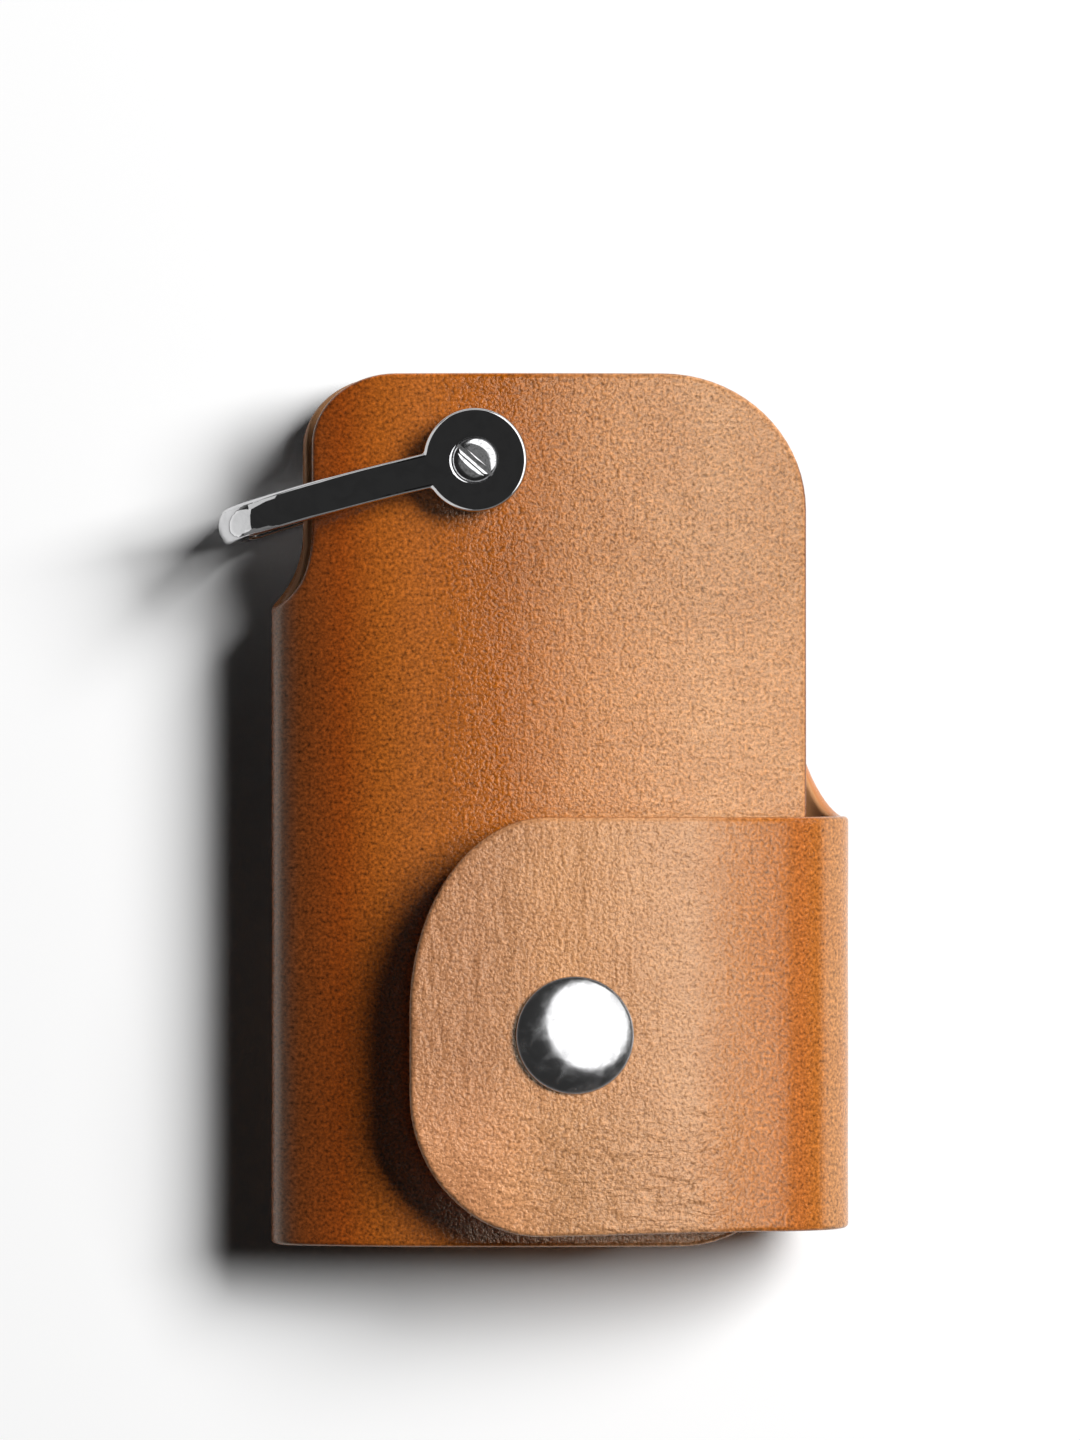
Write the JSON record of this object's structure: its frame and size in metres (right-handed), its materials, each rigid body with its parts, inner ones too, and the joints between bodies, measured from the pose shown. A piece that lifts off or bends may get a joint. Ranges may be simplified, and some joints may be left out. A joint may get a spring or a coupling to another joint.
{
  "type": "key fob cover",
  "caption": "Folded leather wrap for loose keys, with a swinging steel shackle held by a slotted screw and a side flap that snaps shut.",
  "frame": {"origin": "middle of the footprint, on the table that the part lies on", "axes": "+Y up the cover towards the screw end, +X towards the flap's fold, +Z out of the front panel"},
  "size_m": [0.0678, 0.0926, 0.0195],
  "materials": {
    "leather": "semi-matt tan leather with a fine pebbled grain and burnished cut edges",
    "polished_steel": "mirror polished",
    "plated_brass": "nickel plated brass pressings, satin",
    "spring_steel": "drawn wire"
  },
  "bodies": {
    "cover": {"cover_wrap": "leather", "flap_fold": "leather", "snap_stud": "plated_brass", "snap_eyelet": "plated_brass"},
    "flap_body": {"flap": "leather", "snap_cap": "polished_steel", "snap_socket": "plated_brass", "snap_spring": "spring_steel"},
    "shackle_body": {"shackle": "polished_steel"},
    "screw_body": {"key_screw": "polished_steel"}
  },
  "joints": [
    {"name": "flap_hinge", "type": "hinge", "parent": "cover", "child": "flap_body", "pos_m": [0.02663, -0.02265, 0.0098], "axis": [0, 1, 0], "range_deg": [0, 155], "deforming": ["flap_fold", "snap_spring"]},
    {"name": "shackle_swing", "type": "hinge", "parent": "cover", "child": "shackle_body", "pos_m": [-0.00626, 0.03705, 0.0073], "axis": [0, 0, 1], "range_deg": [-165, 12]},
    {"name": "screw_out", "type": "slide", "parent": "shackle_body", "child": "screw_body", "axis": [0, 0, 1], "range_m": [0, 0.0145]}
  ]
}
